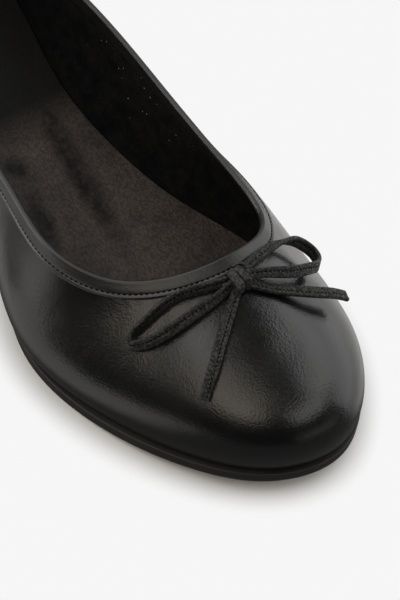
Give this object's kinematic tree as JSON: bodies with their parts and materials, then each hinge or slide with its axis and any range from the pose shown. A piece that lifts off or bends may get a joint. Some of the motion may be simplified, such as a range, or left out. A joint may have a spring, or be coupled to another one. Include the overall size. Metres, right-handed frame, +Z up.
{
  "type": "ballet flat",
  "caption": "Right ballet flat: low black leather upper with a bound topline, thin sole, low heel block, insole and a flat leather strip bow on the vamp.",
  "frame": {"origin": "centre of the shoe's box in plan, on the floor that the heel and the tread stand on", "axes": "+Z up, -Y towards the toe, +X towards the medial side (the big toe's side of a right shoe)"},
  "size_m": [0.0856, 0.25, 0.0641],
  "materials": {
    "upper_leather": "semi-gloss smooth leather",
    "binding_leather": "semi-gloss smooth leather",
    "bow_leather": "grained leather strip",
    "sole_rubber": "matte",
    "sock_leather": "grained matte leather"
  },
  "bodies": {
    "root": {"outsole": "sole_rubber", "heel": "sole_rubber", "insole": "sock_leather", "upper": "upper_leather", "topline_binding": "binding_leather", "bow_knot": "bow_leather", "bow_loop_lateral": "bow_leather", "bow_loop_medial": "bow_leather", "bow_tail_front": "bow_leather", "bow_tail_medial": "bow_leather"}
  },
  "joints": []
}
